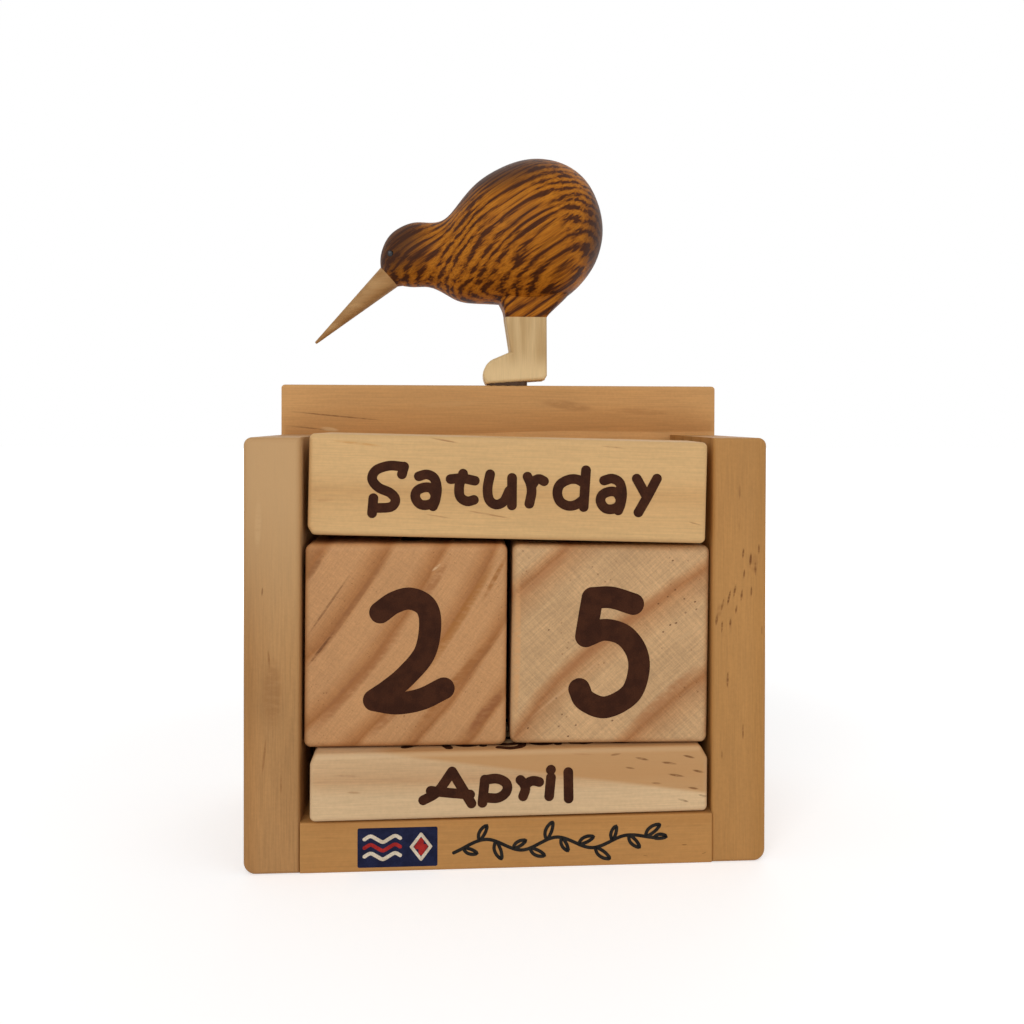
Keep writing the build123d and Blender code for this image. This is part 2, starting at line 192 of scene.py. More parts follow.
class Finish:
    """A material with short calls that add nodes to it. Noise and speck sizes are along three axes."""

    def __init__(self, name, roughness=0.5, specular=0.4):
        self.material = bpy.data.materials.new(name)
        self.material.use_nodes = True
        self.tree = self.material.node_tree
        self.surface = self.tree.nodes["Principled BSDF"]
        self.surface.inputs["Roughness"].default_value = roughness
        self.surface.inputs["Specular IOR Level"].default_value = specular
        self.place = self.node("ShaderNodeTexCoord").outputs["Object"]

    def node(self, kind, **settings):
        made = self.tree.nodes.new(kind)
        for key, value in settings.items():
            setattr(made, key, value)
        return made

    def feed(self, socket, value):
        if isinstance(value, bpy.types.NodeSocket):
            self.tree.links.new(value, socket)
        else:
            socket.default_value = value

    def math(self, operation, *values):
        made = self.node("ShaderNodeMath", operation=operation)
        for socket, value in zip(made.inputs, values):
            self.feed(socket, value)
        return made.outputs[0]

    def add(self, *values):
        total = values[0]
        for value in values[1:]:
            total = self.math("ADD", total, value)
        return total

    def minus(self, first, second):
        return self.math("SUBTRACT", first, second)

    def times(self, *values):
        total = values[0]
        for value in values[1:]:
            total = self.math("MULTIPLY", total, value)
        return total

    def swing(self, value, span):
        """A value of 0 to 1 turned into one that swings about 0 by the span in all."""
        return self.times(self.minus(value, 0.5), span)

    def split(self, vector):
        made = self.node("ShaderNodeSeparateXYZ")
        self.feed(made.inputs[0], vector)
        return list(made.outputs)

    def join(self, *values):
        made = self.node("ShaderNodeCombineXYZ")
        for socket, value in zip(made.inputs, values):
            self.feed(socket, value)
        return made.outputs[0]

    def within(self, vector, at, turn, sizes):
        """The vector as seen from a point, along turned axes, in units of the sizes."""
        made = self.node("ShaderNodeMapping", vector_type="TEXTURE")
        self.feed(made.inputs["Vector"], vector)
        made.inputs["Location"].default_value = at
        made.inputs["Rotation"].default_value = turn
        made.inputs["Scale"].default_value = sizes
        return made.outputs[0]

    def local(self, at, turn):
        """Millimetres from a point, along turned axes."""
        return self.within(self.place, at, turn, (MM, MM, MM))

    def millimetres(self):
        return self.sized(self.place, (MM, MM, MM))

    def sized(self, vector, sizes, shift=(0, 0, 0)):
        """The vector in units of the given sizes, shifted."""
        made = self.node("ShaderNodeMapping")
        self.feed(made.inputs["Vector"], vector)
        made.inputs["Scale"].default_value = [1 / size for size in sizes]
        made.inputs["Location"].default_value = shift
        return made.outputs[0]

    def noise(self, vector, sizes, seed=0.0, detail=2.0, roughness=0.5):
        made = self.node("ShaderNodeTexNoise")
        self.feed(made.inputs["Vector"], self.sized(vector, sizes, (seed, seed * 1.7, seed * 2.3)))
        made.inputs["Scale"].default_value = 1
        made.inputs["Detail"].default_value = detail
        made.inputs["Roughness"].default_value = roughness
        return made.outputs["Fac"]

    def specks(self, vector, sizes, reach, share, seed=0.0):
        """Small spots, one in each of a share of the cells, that fade out at reach, in cells."""
        made = self.node("ShaderNodeTexVoronoi")
        self.feed(made.inputs["Vector"], self.sized(vector, sizes, (seed, seed * 1.3, seed * 2.1)))
        made.inputs["Scale"].default_value = 1
        spot = self.ease(made.outputs["Distance"], reach, reach * SPECK_CORE)
        red = self.split(made.outputs["Color"])[0]
        return self.times(spot, self.math("GREATER_THAN", red, 1 - share))

    def hatch(self, grain, angle, seed):
        """Fine lines across the grain, turned by degrees."""
        made = self.node("ShaderNodeMapping")
        self.feed(made.inputs["Vector"], grain)
        made.inputs["Rotation"].default_value = (0, 0, radians(angle))
        return self.noise(made.outputs[0], HATCH_SIZE, seed, detail=2.5, roughness=0.6)

    def ease(self, value, start, end, low=0.0, high=1.0):
        """A smooth step from low at start to high at end."""
        made = self.node("ShaderNodeMapRange", interpolation_type="SMOOTHSTEP")
        flip = start > end
        self.feed(made.inputs["Value"], value)
        made.inputs["From Min"].default_value = min(start, end)
        made.inputs["From Max"].default_value = max(start, end)
        made.inputs["To Min"].default_value = high if flip else low
        made.inputs["To Max"].default_value = low if flip else high
        return made.outputs["Result"]

    def oval(self, vector, at, half_sizes, tilt, core):
        """1 in an oval's core, easing to 0 at its rim. It is tilted by degrees, seen from the front."""
        reach = self.node("ShaderNodeVectorMath", operation="LENGTH")
        self.feed(reach.inputs[0], self.within(vector, at, (0, -radians(tilt), 0), half_sizes))
        return self.ease(reach.outputs["Value"], 1, core)

    def ramp(self, value, stops):
        made = self.node("ShaderNodeValToRGB")
        self.feed(made.inputs[0], value)
        points = made.color_ramp.elements
        while len(points) < len(stops):
            points.new(0.5)
        for point, (position, colour) in zip(points, stops):
            point.position = position
            point.color = colour
        return made.outputs[0]

    def mix(self, share, first, second, blend="MIX"):
        made = self.node("ShaderNodeMix", data_type="RGBA", blend_type=blend)
        self.feed(made.inputs[0], share)
        self.feed(made.inputs[6], first)
        self.feed(made.inputs[7], second)
        return made.outputs[2]

    def shade(self, colour, level):
        """The colour times a grey level."""
        return self.mix(1.0, colour, self.join(level, level, level), "MULTIPLY")

    def vary(self, colour, value, share, start=0.2, end=0.8):
        """The colour, darker by the share where the value is at start and paler by it at end."""
        return self.shade(colour, self.ease(value, start, end, 1 - share, 1 + share))

    def bump(self, height, distance):
        made = self.node("ShaderNodeBump")
        made.inputs["Strength"].default_value = 1.0
        made.inputs["Distance"].default_value = distance * MM
        self.feed(made.inputs["Height"], height)
        self.feed(self.surface.inputs["Normal"], made.outputs[0])

    def colour(self, colour):
        self.feed(self.surface.inputs["Base Color"], colour)

    def roughness(self, value):
        self.feed(self.surface.inputs["Roughness"], value)


# Blocks: their true axes are read from their largest flat faces

FACING = 0.99  # how closely a flat face of a block looks along its axis
ARRIS_FLAT = 0.2  # share of an edge's width where it has turned fully into the edge


class Block:
    """A rectangular piece with its centre, axes and half sizes, in millimetres along its own axes."""

    def __init__(self, name):
        self.name = name
        self.body = nodes[name]["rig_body"]
        mesh = nodes[name].data
        right = self.flat_normal(mesh, Vector((1, 0, 0)))
        up = self.flat_normal(mesh, Vector((0, 0, 1)))
        back = up.cross(right).normalized()
        self.turn = Matrix((right, back, right.cross(back))).transposed()
        spans = []
        for axis in self.turn.col:
            along = [axis.dot(v.co) for v in mesh.vertices]
            spans.append((min(along), max(along)))
        self.at = self.turn @ Vector([(low + high) / 2 for low, high in spans])
        self.half = [(high - low) / 2 / MM for low, high in spans]

    @staticmethod
    def flat_normal(mesh, axis):
        """Direction of the largest face that looks along the axis."""
        facing = [p for p in mesh.polygons if p.normal.dot(axis) > FACING]
        return max(facing, key=lambda p: p.area).normal.copy()

    def local(self, finish):
        return finish.local(self.at, self.turn.to_euler())

    def arris(self, finish, local, width):
        """1 on the rounded edges and 0 on the flats."""
        over = []
        for value, half in zip(finish.split(local), self.half):
            over.append(finish.minus(finish.math("ABSOLUTE", value), half))
        low = finish.math("MINIMUM", over[0], over[1])
        high = finish.math("MAXIMUM", over[0], over[1])
        second = finish.math("MAXIMUM", low, finish.math("MINIMUM", high, over[2]))
        return finish.ease(second, -width, -width * ARRIS_FLAT)


# Pine

ALONG = {"X": (1, 2, 0), "Y": (0, 2, 1), "Z": (0, 1, 2)}
DRIFT_SIZE = (15, 15, 120)
RIPPLE_SIZE = (4, 4, 60)
RIPPLE_SHARE = 0.3  # of the rings' waver
STREAK_SIZE = (13, 13, 40)
FIBRE_SIZE = (0.35, 0.35, 9)
MOTTLE_SIZE = (0.7, 0.7, 0.7)
MOTTLE = 0.035
SOFT_RING = (0.22, 0.87, 0.93)  # length of the rise to the dark part, its darkest place and its end
HARD_RING = (0.25, 0.93, 0.975)
SPECK_REACH = 0.22
SPECK_TONE = tone(120, 76, 42)
SPECK_CLUSTER = (9, 9, 30)
MARK_BREAKS = (2.5, 2.5, 0.8)
MARK_DEPTH = 6
ZONE_FADE = 0.8  # of the half depth, from the middle to where a zone is full
MARK_CORE = 0.45
# width and share of a paler tone on the rounded edges: painted highlight where they catch the light
ARRIS_HIGHLIGHT_WIDTH = 1.2
ARRIS_HIGHLIGHT_SHARE = 0.35


def grain_space(finish, local, along):
    """The coordinates in an order that puts the one along the grain last."""
    parts = finish.split(local)
    return finish.join(*[parts[i] for i in ALONG[along]])


def ring_age(f, grain, pith, spacing, waver, seed, growth, start):
    """Which year a point grew in. Its fraction runs from 0 in spring to 1 in autumn."""
    drift = f.noise(grain, DRIFT_SIZE, seed)
    ripple = f.noise(grain, RIPPLE_SIZE, seed + 5)
    u, v, _ = f.split(grain)
    du = f.minus(u, pith[0])
    dv = f.minus(v, pith[1])
    radius = f.math("SQRT", f.add(f.times(du, du), f.times(dv, dv)))
    reach = f.minus(radius, (pith[0] ** 2 + pith[1] ** 2) ** 0.5)
    reach = f.add(reach, f.swing(drift, waver), f.swing(ripple, waver * RIPPLE_SHARE))
    return f.add(start, f.times(reach, 1 / spacing), f.times(reach, reach, growth))


def dress_pine(name, along, pith, spacing, waver, seed, tones, late=0.75, growth=0.0, start=0.0,
               speck_share=0.3, speck_size=(1.5, 1.5, 9), fibre=0.08, streaks=0.08, soft_rings=False,
               hatches=(), zones=(), marks=()):
    """Sanded pine: growth rings round a pith, fibres, resin specks, painted highlight on the rounded
    edges and marks on the front.

    tones are the rings' pale, middle and dark ones. late is where in a ring its dark part starts, and
    soft_rings end that part softly. hatches are (degrees, strength). zones are (slope, height, softness,
    colour, share) and lie over a slanting line. marks are (x, z, half length, half height, degrees,
    colour, share).
    """
    f = Finish(f"{name}_pine", roughness=0.55, specular=0.2)
    block = blocks[name]
    front = -block.half[1]
    local = block.local(f)
    grain = grain_space(f, local, along)
    age = f.math("FRACT", ring_age(f, grain, pith, spacing, waver, seed, growth, start))
    pale, middle, dark = [tone(*values) for values in tones]
    rise, darkest, last = SOFT_RING if soft_rings else HARD_RING
    colour = f.ramp(age, [
        (0.0, pale), (late - rise, pale), (late, middle), (darkest, dark),
        (last, middle if soft_rings else dark), (1.0, pale),
    ])
    colour = f.vary(colour, f.noise(grain, STREAK_SIZE, seed + 11, detail=3), streaks, 0.25, 0.75)
    fine = f.noise(grain, FIBRE_SIZE, seed + 17, detail=3, roughness=0.6)
    colour = f.vary(colour, fine, fibre)
    colour = f.vary(colour, f.noise(local, MOTTLE_SIZE, seed + 23), MOTTLE)
    speck = f.specks(grain, speck_size, SPECK_REACH, speck_share, seed)
    speck = f.times(speck, f.ease(f.noise(grain, SPECK_CLUSTER, seed + 31), 0.45, 0.62, 0.1, 0.6))
    colour = f.mix(speck, colour, SPECK_TONE)
    for i, (angle, strength) in enumerate(hatches):
        colour = f.vary(colour, f.hatch(grain, angle, seed + 37 + i), strength, 0.3, 0.7)
    x, y, z = f.split(local)
    in_front = f.ease(y, 0, front * ZONE_FADE)
    for slope, height, softness, zone_tone, share in zones:
        over = f.minus(f.minus(z, height), f.times(x, slope))
        inside = f.times(f.ease(over, -softness, softness), in_front)
        colour = f.mix(f.times(inside, share), colour, zone_tone)
    if marks:
        broken = f.noise(local, MARK_BREAKS, seed + 41, detail=3, roughness=0.6)
        broken = f.ease(broken, 0.32, 0.58, 0.35, 1)
        for mark_x, mark_z, length, height, tilt, mark_tone, share in marks:
            at = (mark_x, front, mark_z)
            inside = f.oval(local, at, (length, MARK_DEPTH, height), tilt, MARK_CORE)
            colour = f.mix(f.times(inside, broken, share), colour, mark_tone)
    # painted highlight: the rounded edges are mixed towards the pale tone, where they catch the light
    edge = block.arris(f, local, ARRIS_HIGHLIGHT_WIDTH)
    f.colour(f.mix(f.times(edge, ARRIS_HIGHLIGHT_SHARE), colour, pale))
    f.roughness(f.ease(fine, 0.2, 0.8, 0.48, 0.62))
    f.bump(f.add(f.times(fine, 0.6), f.times(age, 0.35), f.times(speck, -0.8)), 0.035)
    dress(name, f.material)


def dress(name, material):
    """Gives a carried-over node its finish."""
    if not nodes[name].material_slots:
        nodes[name].data.materials.append(material)
    for slot in nodes[name].material_slots:
        slot.material = material


# Print: strokes of ink as thin raised ribbons, in millimetres on a block's face

INK_HEIGHT = 0.03  # of a stroke over the wood
INK_DEPTH = 0.05  # of all print down into it
PATCH_HEIGHT = 0.018
STROKE_LIFT = 0.002
STROKE_LEVELS = 16
STROKE_STEP = 0.35
CAP_STEPS = 10


def is_loop(line):
    return (line[0] - line[-1]).length < 1e-6


def smooth_line(points):
    """A Catmull-Rom line through the points, with points about STROKE_STEP apart."""
    points = [Vector(p) for p in points]
    if len(points) == 2:
        return points
    if is_loop(points):
        line = [points[-2]] + points + [points[1]]
    else:
        line = [points[0] * 2 - points[1]] + points + [points[-1] * 2 - points[-2]]
    out = []
    for a, b, c, d in zip(line, line[1:], line[2:], line[3:]):
        steps = max(2, round((c - b).length / STROKE_STEP))
        for i in range(steps):
            t = i / steps
            out.append(0.5 * (
                2 * b + (c - a) * t + (2 * a - 5 * b + 4 * c - d) * t**2 + (3 * b - a - 3 * c + d) * t**3
            ))
    return out + [points[-1]]


def stroke_outline(points, half_width):
    """Left and right edges of a stroke as matching lists, with round ends unless it is closed."""
    line = smooth_line(points)
    closed = is_loop(line)
    left, right = [], []
    for i, p in enumerate(line):
        before = line[i - 1] if i else (line[-2] if closed else p)
        after = line[i + 1] if i + 1 < len(line) else (line[1] if closed else p)
        heading = (after - before).normalized()
        side = Vector((-heading.y, heading.x)) * half_width
        turns = [0]
        if not closed and i == 0:
            turns = [pi / 2 * (step / CAP_STEPS - 1) for step in range(1, CAP_STEPS)] + [0]
        if not closed and i == len(line) - 1:
            turns = [0] + [pi / 2 * step / CAP_STEPS for step in range(1, CAP_STEPS)]
        for turn in turns:
            middle = p + heading * half_width * sin(turn)
            left.append(middle + side * cos(turn))
            right.append(middle - side * cos(turn))
    return left, right, closed


def join_rings(bm, rings, closed=False):
    """Walls between rings of four vertices, and faces on the first and last unless they close a loop."""
    for one, two in zip(rings, rings[1:]):
        for i in range(4):
            j = (i + 1) % 4
            bm.faces.new((one[i], two[i], two[j], one[j]))
    if not closed:
        bm.faces.new(rings[0])
        bm.faces.new(rings[-1][::-1])


def add_ribbon(bm, left, right, closed, place, top):
    """A thin slab between the two edges. place maps (x, y, height) to the row frame."""
    if closed:
        left, right = left[:-1], right[:-1]
    rings = []
    for a, b in zip(left, right):
        corners = ((a, top), (b, top), (b, -INK_DEPTH), (a, -INK_DEPTH))
        rings.append([bm.verts.new(place(p.x, p.y, height)) for p, height in corners])
    if closed:
        rings.append(rings[0])
    join_rings(bm, rings, closed)


FACES = {  # normal, right and up along the block's own axes
    "front": ((0, -1, 0), (1, 0, 0), (0, 0, 1)),
    "top": ((0, 0, 1), (1, 0, 0), (0, 1, 0)),
    "bottom": ((0, 0, -1), (1, 0, 0), (0, -1, 0)),
    "back": ((0, 1, 0), (1, 0, 0), (0, 0, -1)),
    "left": ((-1, 0, 0), (0, -1, 0), (0, 0, 1)),
    "right": ((1, 0, 0), (0, 1, 0), (0, 0, 1)),
}


def face_place(block, face):
    """Maps (x, y, height) on a block's face, in millimetres, to the row frame."""
    normal, right, up = [block.turn @ Vector(v) for v in FACES[face]]
    reach = sum(abs(v) * half for v, half in zip(FACES[face][0], block.half))

    def place(x, y, height):
        return block.at + (right * x + up * y + normal * (reach + height)) * MM
    return place


def finished_piece(name, bm, material, body):
    bmesh.ops.recalc_face_normals(bm, faces=bm.faces)
    mesh = bpy.data.meshes.new(name)
    bm.to_mesh(mesh)
    bm.free()
    mesh.materials.append(material)
    piece = bpy.data.objects.new(name, mesh)
    bpy.context.scene.collection.objects.link(piece)
    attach(piece, body)


def print_patch(name, block, face, outline, material):
    """Prints an area of ink inside a closed outline, lower than the strokes on the same face."""
    bm = bmesh.new()
    place = face_place(block, face)
    top, low = [[bm.verts.new(place(x, y, h)) for x, y in outline] for h in (PATCH_HEIGHT, -INK_DEPTH)]
    bm.faces.new(top)
    bm.faces.new(low[::-1])
    for i in range(len(outline)):
        j = (i + 1) % len(outline)
        bm.faces.new((top[i], low[i], low[j], top[j]))
    finished_piece(name, bm, material, block.body)


def print_strokes(name, block, face, strokes, half_width, material):
    """Prints strokes of ink on a block's face. Strokes that meet lie at heights a hair apart."""
    bm = bmesh.new()
    place = face_place(block, face)
    for i, points in enumerate(strokes):
        left, right, closed = stroke_outline(points, half_width)
        add_ribbon(bm, left, right, closed, place, INK_HEIGHT + STROKE_LIFT * (i % STROKE_LEVELS))
    finished_piece(name, bm, material, block.body)


DIGITS = {  # strokes in millimetres from the middle of a cube's face
    "0": [
        [(0, 9.8), (-4.8, 6.6), (-6, -0.6), (-4.4, -8.6),
         (0.2, -11.8), (4.7, -8.4), (6, -0.6), (4.4, 6.8), (0, 9.8)],
    ],
    "1": [[(-3.2, 6), (0.9, 9.5)], [(0.9, 9.5), (0.8, -0.6), (0.6, -11.6)]],
    "2": [
        [(-5.1, 6.7), (-2.4, 8.6), (0.8, 9.4), (3.9, 7.8), (4.75, 4.1),
         (3.7, -1.4), (0.3, -5.7), (-3.1, -8.6), (-6.2, -10.7)],
        [(-6.2, -10.7), (-1.7, -11.4), (3.1, -10.6), (7.5, -8.5)],
    ],
    "3": [
        [(-5.2, 7.8), (-0.6, 9.6), (3.8, 7.2), (3, 2.2), (-1.2, 0)],
        [(-1.2, 0), (3.8, -1.6), (5.2, -6.6), (1, -11.5), (-5.4, -10)],
    ],
    "4": [[(-6, -4.8), (2.2, 9.4)], [(2.2, 9.4), (2.8, -11.6)], [(-6, -4.8), (6.6, -4.2)]],
    "5": [
        [(-3.9, 9.4), (0, 9.5), (4.4, 8.2)],
        [(-3.9, 9.4), (-4.5, 5.6), (-5.1, 1.7)],
        [(-5.1, 1.7), (-1.4, 3), (2.6, 1.9), (5.2, -1.4), (5.7, -5.4),
         (4, -10), (-0.9, -12.6), (-5, -11.2), (-6.3, -8.9)],
    ],
    "6": [
        [(4, 9.2), (-1.8, 5.9), (-5.3, -0.5), (-5.1, -6.4)],
        [(0, -1.4), (-4.7, -3.9), (-5, -8.6), (0, -11.7), (4.9, -9), (4.8, -3.6), (0, -1.4)],
    ],
    "7": [[(-5.6, 8.8), (0, 9.3), (5.6, 9.1)], [(5.6, 9.1), (1.8, 0.8), (-0.8, -11.3)]],
    "8": [
        [(0, 9.7), (-4, 7), (-3.2, 2.6), (0, 1), (3.2, 2.6), (4, 7), (0, 9.7)],
        [(0, 1), (-4.8, -2.4), (-4.9, -8.4), (0, -11.6), (4.9, -8.4), (4.8, -2.4), (0, 1)],
    ],
}
DIGIT_HALF_WIDTH = 2.2
SMALL_MIDDLE = 3.1  # height of the middle of the small letters
INK_PATCHES = (2.2, 2.2, 2.2)
INK_GRAIN = (0.25, 0.25, 0.25)

ARCH = [(1, 3.6), (2.6, 5.8), (4.7, 5.3), (5.2, 3.2), (5.2, 0.3)]
BOWL = [(5.4, 5.1), (3.2, 6), (1, 4.6), (0.9, 2), (2.7, 0.4), (5.3, 1.7)]
FRONT_BOWL = [(1, 5), (3.2, 6.1), (5.4, 4.6), (5.3, 1.9), (3.2, 0.4), (1, 1.3)]
LETTERS = {  # advance and strokes, in millimetres from the left end of the base line
    "A": (10.3, [
        [(1, 0), (3.5, 2.6), (6, 8.8)], [(6, 8.8), (9.45, -1.4)], [(2.3, 2.9), (5.6, 2.1), (9.2, 1.4)],
    ]),
    "D": (8.2, [[(1.2, 0.2), (1.1, 9.7)], [(1.1, 9.7), (5, 9), (7.1, 5.2), (5.2, 1.2), (1.2, 0.2)]]),
    "F": (7, [[(1.2, 0.2), (1.2, 9.7)], [(1.2, 9.7), (6.4, 9.8)], [(1.2, 5.3), (5.4, 5.5)]]),
    "J": (6.4, [[(5, 9.7), (5, 3), (3.4, 0.5), (1, 1.6)]]),
    "M": (10, [
        [(1, 0.2), (1.7, 9.7)], [(1.7, 9.7), (4.9, 3.9)],
        [(4.9, 3.9), (8.1, 9.7)], [(8.1, 9.7), (8.9, 0.2)],
    ]),
    "N": (8.4, [[(1.1, 0.2), (1.1, 9.7)], [(1.1, 9.7), (6.9, 0.4)], [(6.9, 0.4), (7, 9.7)]]),
    "O": (9, [[(4.4, 9.9), (1.2, 7.6), (1.1, 2.8), (4.3, 0.2), (7.5, 2.7), (7.6, 7.4), (4.4, 9.9)]]),
    "S": (8.5, [
        [(7.1, 7), (4.5, 7.1), (1.9, 6.2), (1.1, 4.5), (2.4, 2.9),
         (4.8, 1.9), (5.9, 0.6), (5, -0.8), (1.6, -1.1)],
        [(7.5, 7), (7.1, 5.5)], [(1.45, 0.8), (1.25, -2.1)],
    ]),
    "T": (8, [[(0.8, 9.6), (7.6, 9.8)], [(4.1, 9.6), (4, 0.2)]]),
    "W": (11, [
        [(0.9, 9.7), (3, 0.5)], [(3, 0.5), (5.4, 6.8)],
        [(5.4, 6.8), (7.8, 0.5)], [(7.8, 0.5), (10, 9.7)],
    ]),
    "a": (6.3, [
        [(1.3, 5.2), (2.9, 5.6), (4.4, 4.9), (5, 3), (4.8, 0.9), (4.3, -0.5)],
        [(4.7, 1.6), (3.9, 2.9), (2.5, 3.1), (1, 2.4), (0.7, 1.1),
         (1.6, -0.1), (3, -0.3), (4.3, 0.3), (4.7, 1.6)],
    ]),
    "b": (7, [[(1, 9.7), (1, 0.2)], FRONT_BOWL]),
    "c": (6.2, [[(5.1, 5.2), (3.1, 6.2), (1, 4.6), (0.9, 2), (2.8, 0.3), (5.2, 1.2)]]),
    "d": (8.2, [
        [(6.2, 4.6), (4.7, 5.3), (3, 5.2), (1.3, 4.2),
         (0.8, 2.6), (1.4, 1), (2.9, 0.2), (4.6, 0.4), (6.2, 1.5)],
        [(6.5, 7.1), (6.2, 0)],
    ]),
    "e": (6.6, [
        [(1.1, 3.2), (5.4, 3.5)],
        [(5.4, 3.5), (4.7, 5.7), (2.9, 6.2), (1, 4.6), (0.9, 2), (2.8, 0.3), (5.3, 1)],
    ]),
    "g": (7, [BOWL, [(5.6, 6), (5.6, -0.6), (3.6, -2.5), (1.2, -1.8)]]),
    "h": (6.8, [[(1, 9.7), (1, 0.2)], ARCH]),
    "i": (2.6, [[(0.75, 6.2), (0.45, 0.2)], [(0.7, 8.5), (0.75, 8.6)]]),
    "l": (3.1, [[(1.15, 7.7), (1.25, -0.7)]]),
    "m": (9.2, [
        [(1, 6), (1, 0.2)], [(1, 3.8), (2.3, 5.8), (4, 5.2), (4.2, 0.3)],
        [(4.2, 3.8), (5.6, 5.8), (7.4, 5.2), (7.6, 0.2)],
    ]),
    "n": (6.8, [[(1, 6), (1, 0.2)], ARCH]),
    "o": (7, [[(3.2, 6.2), (1, 4.8), (0.9, 2), (3, 0.3), (5.3, 1.6), (5.6, 4.2), (3.2, 6.2)]]),
    "p": (7, [
        [(1.4, 6), (1, -1.3)],
        [(1.5, 5.9), (3.5, 6.2), (5, 5), (5.4, 3.2), (4.9, 1.3), (3.6, 0.1), (1.6, 0.3)],
    ]),
    "r": (5.2, [
        [(0.6, 5.6), (1.25, 4.3), (1.5, 2.6), (1.1, 0.4)],
        [(1.5, 3.9), (2.3, 5), (3.1, 5.2), (3.95, 4.8)],
    ]),
    "s": (6, [[(4.9, 5.5), (2.9, 6.2), (1.3, 5), (3, 3.4), (4.8, 2.1), (3.6, 0.4), (1, 0.8)]]),
    "t": (7, [
        [(3.2, 5.9), (2.5, 3.6), (2.7, 1.5), (4.1, 0.6), (5.5, 0.9)], [(0.7, 4.8), (3, 5), (5.6, 4.6)],
    ]),
    "u": (7.2, [
        [(0.95, 5.9), (0.5, 3.2), (0.9, 1), (2.3, 0.1), (3.9, 0.8), (4.9, 2.8)], [(5.4, 5.3), (5.5, 0)],
    ]),
    "v": (6.2, [[(0.9, 6), (3.1, 0.4)], [(3.1, 0.4), (5.4, 6)]]),
    "y": (6.2, [[(0.9, 5.7), (2.8, 2.6)], [(5, 5.8), (3.1, 2.2), (1.4, -0.8)]]),
}


def word_strokes(word, wide, high, tracking, shift):
    """A word's strokes, centred on its width and on the middle of its small letters, then shifted."""
    pen = -sum(LETTERS[letter][0] * wide + tracking for letter in word) / 2
    strokes = []
    for letter in word:
        advance, shapes = LETTERS[letter]
        for shape in shapes:
            strokes.append([
                (pen + x * wide + shift[0], (y - SMALL_MIDDLE) * high + shift[1]) for x, y in shape
            ])
        pen += advance * wide + tracking
    return strokes


def ink(name, colour, deep):
    """Matt ink with small uneven spots between two tones."""
    f = Finish(name, roughness=0.6, specular=0.08)
    local = f.millimetres()
    patchy = f.noise(local, INK_PATCHES, 3, detail=3)
    grainy = f.noise(local, INK_GRAIN, 9, detail=2)
    colour = f.mix(f.ease(patchy, 0.35, 0.65), tone(*colour), tone(*deep))
    f.colour(f.vary(colour, grainy, 0.18))
    f.bump(grainy, 0.02)
    return f.material


# Shelf front: a small navy panel with red and cream motifs, and a leafy sprig

PANEL_AT = (-21.95, -0.2)
PANEL_HALF = (7.85, 3.9)
PANEL_CORNER = 0.35
CORNER_STEPS = 3
DIAMOND_AT = 4.6  # to the right of the panel's middle
DIAMOND = [(-1.9, 0), (0, 2.5), (1.9, 0), (0, -2.5), (-1.9, 0)]
DIAMOND_FILL = [[(-0.8, 0), (0.8, 0)], [(0, 1.2), (0, -1.2)], [(-0.4, 0.6), (0.4, -0.6)]]
WAVES_AT = -3.1
WAVE = [(-3.4, 0), (-2.2, 0.6), (-1, 0), (0.2, -0.6), (1.4, 0), (2.6, 0.6), (3.6, 0.1)]
WAVE_SHIFT = 1.7
SPRIG_STEM = [
    (-10.9, -1.6), (-4.5, 0.9), (2.6, -1.4), (9.6, 1.0), (16.7, -1.3), (23.4, 1.0), (29.2, 0.4),
]
SPRIG_LEAVES = 12
LEAF = [(0, 0), (1.1, 0.75), (2.5, 0.7), (3.6, 0), (2.4, -0.35), (1.1, -0.3), (0, 0)]
LEAF_TURN = 50


def panel_outline():
    """A rectangle with round corners."""
    x, y = PANEL_AT
    half_x, half_y = PANEL_HALF
    outline = []
    for turn, (side_x, side_y) in enumerate(((1, 1), (-1, 1), (-1, -1), (1, -1))):
        for step in range(CORNER_STEPS + 1):
            a = pi / 2 * (turn + step / CORNER_STEPS)
            outline.append((
                x + side_x * (half_x - PANEL_CORNER) + PANEL_CORNER * cos(a),
                y + side_y * (half_y - PANEL_CORNER) + PANEL_CORNER * sin(a),
            ))
    return outline


def moved(points, at, turn=0.0, size=1.0, flip=1):
    """The points scaled, mirrored for flip -1, turned by degrees and moved."""
    c, s = cos(radians(turn)), sin(radians(turn))
    return [
        (at[0] + size * (x * c - y * flip * s), at[1] + size * (x * s + y * flip * c)) for x, y in points
    ]


def sprig_strokes():
    """A waving stem, with leaves that point forward on alternate sides and one at its end."""
    stem = smooth_line(SPRIG_STEM)
    strokes = [SPRIG_STEM]
    for i in range(SPRIG_LEAVES):
        at = round((i + 0.6) / SPRIG_LEAVES * (len(stem) - 2))
        heading = stem[at + 1] - stem[at]
        side = 1 if i % 2 else -1
        turn = degrees(atan2(heading.y, heading.x)) + side * LEAF_TURN
        strokes.append(moved(LEAF, stem[at], turn, 0.82 + 0.1 * (i % 3), side))
    strokes.append(moved(LEAF, stem[-1], 4, 0.7))
    return strokes


# Glue under the feet, its dark tone partly painted shade

GLUE_SPAN = (-3.3, 6.3)
GLUE_STEPS = 12
GLUE_HALF_WIDTH = 2.1
GLUE_WAVER = 0.2
GLUE_TAPER = 0.7  # off the half width at both ends
GLUE_TOP = 0.9  # of the width at the foot
GLUE_RISE = 0.071  # of the sole towards the heel
GLUE_SINK = 0.37  # from the toe down to just under the board's top
TOE_ROUND = 0.7  # from the tip of the toe to where the sole starts
SOLE_OVERLAP = 0.12


